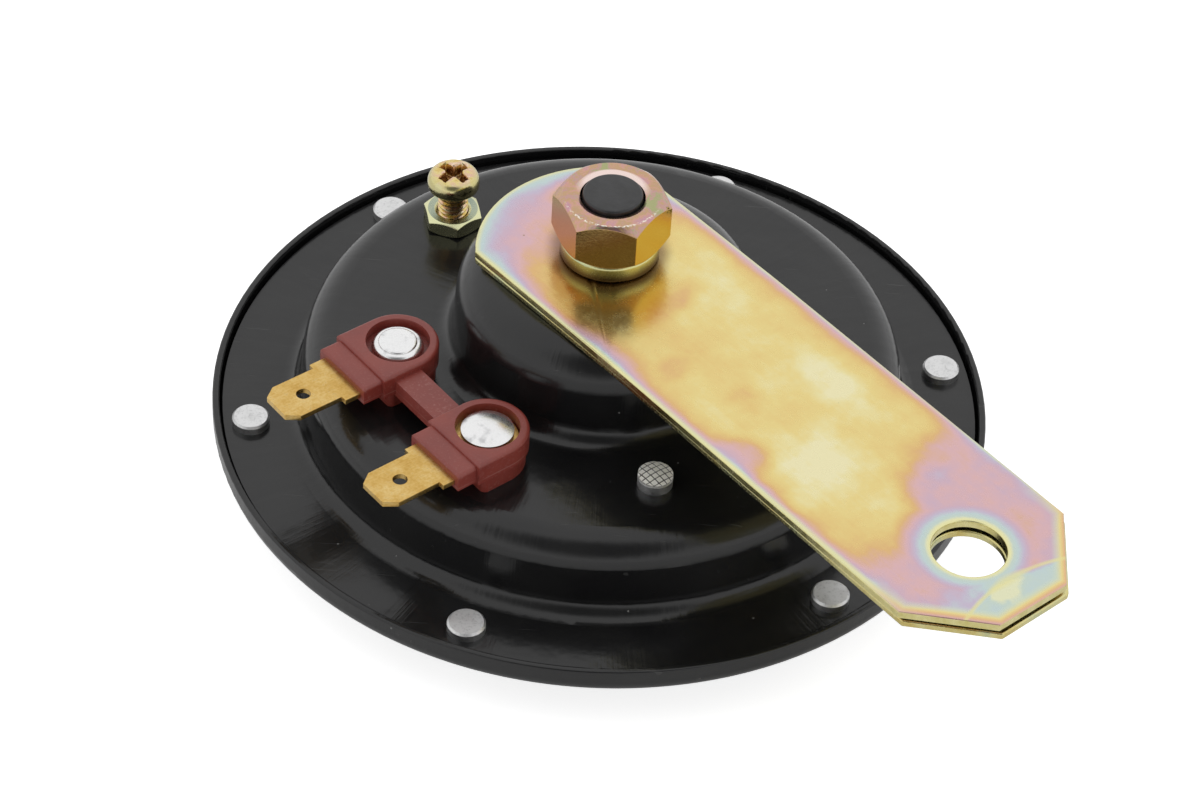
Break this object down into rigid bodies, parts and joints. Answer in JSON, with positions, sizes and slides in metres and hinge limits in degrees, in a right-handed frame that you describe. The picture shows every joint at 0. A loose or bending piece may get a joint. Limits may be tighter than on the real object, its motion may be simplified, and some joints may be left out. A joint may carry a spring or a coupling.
{
  "type": "car horn",
  "caption": "Round electric disc horn with a stepped pressed shell, two blade terminals and a flat bracket clamped on its rear stud, for fastening to a vehicle panel.",
  "frame": {"origin": "centre of the front cover's flat face, on the horn's axis", "axes": "+Z along the horn's axis from the sounding front to the stud and bracket; seen from behind with X to the right, the bracket points down to the right"},
  "size_m": [0.106, 0.1099, 0.0441],
  "materials": {
    "shell_paint": "satin black paint on pressed steel",
    "stud_black": "black stud, phosphated steel",
    "zinc_yellow": "yellow passivated zinc, iridescent",
    "zinc_nut": "yellow passivated zinc, rosy",
    "zinc_washer": "yellow passivated zinc",
    "zinc_screw": "yellow passivated zinc",
    "zinc_pale": "clear zinc, pale green",
    "rivet_aluminium": "pressed aluminium",
    "moulding_brown": "red-brown phenolic moulding",
    "brass_tab": "rolled brass sheet",
    "gasket_fibre": "pressed fibre gasket",
    "insulator": "hard fibre insulator",
    "steel_bare": "bare spring and mild steel",
    "contact_metal": "tungsten contact",
    "bobbin_plastic": "natural nylon",
    "copper_wire": "enamelled copper wire"
  },
  "bodies": {
    "housing": {"rear_shell": "shell_paint", "front_cover": "shell_paint", "flange_rivets": "rivet_aluminium", "rear_gasket": "gasket_fibre", "front_gasket": "gasket_fibre", "diaphragm": "steel_bare", "pole_core": "stud_black", "bracket_upper_leaf": "zinc_yellow", "bracket_lower_leaf": "zinc_yellow", "spring_washer": "zinc_washer", "mounting_nut": "zinc_nut", "terminal_block": "moulding_brown", "spade_terminal_left": "brass_tab", "spade_terminal_right": "brass_tab", "terminal_rivet_left": "rivet_aluminium", "terminal_rivet_right": "rivet_aluminium", "insulating_bush_left": "insulator", "insulating_bush_right": "insulator", "adjusting_screw": "zinc_screw", "adjusting_pad": "insulator", "lock_nut": "zinc_pale", "breaker_rivet": "rivet_aluminium", "breaker_upper_pad": "insulator", "breaker_lower_pad": "insulator", "breaker_tail_washer": "insulator", "breaker_spring": "steel_bare", "fixed_contact": "contact_metal", "contact_plate": "brass_tab", "coil_bobbin": "bobbin_plastic", "coil_winding": "copper_wire", "coil_clip": "steel_bare", "coil_lead_terminal": "copper_wire", "coil_lead_breaker": "copper_wire"},
    "armature": {"armature": "steel_bare", "hub_spacer": "steel_bare", "tone_disc": "steel_bare", "hub_nut": "steel_bare"},
    "breaker_arm": {"breaker_arm": "steel_bare", "moving_contact": "contact_metal"}
  },
  "joints": [
    {"name": "armature_stroke", "type": "slide", "parent": "housing", "child": "armature", "axis": [0, 0, 1], "range_m": [0, 0.0004], "stiffness_N_per_m": 20000, "deforming": ["diaphragm"]},
    {"name": "breaker_flex", "type": "hinge", "parent": "housing", "child": "breaker_arm", "pos_m": [0.00355, -0.0242, 0.01805], "axis": [0.4701, 0.8826, 0], "range_deg": [0, 1.91], "deforming": ["breaker_spring"]}
  ],
  "couplings": [
    {"joint": "breaker_flex", "follows": "armature_stroke", "rad_per_m": 83.26}
  ]
}
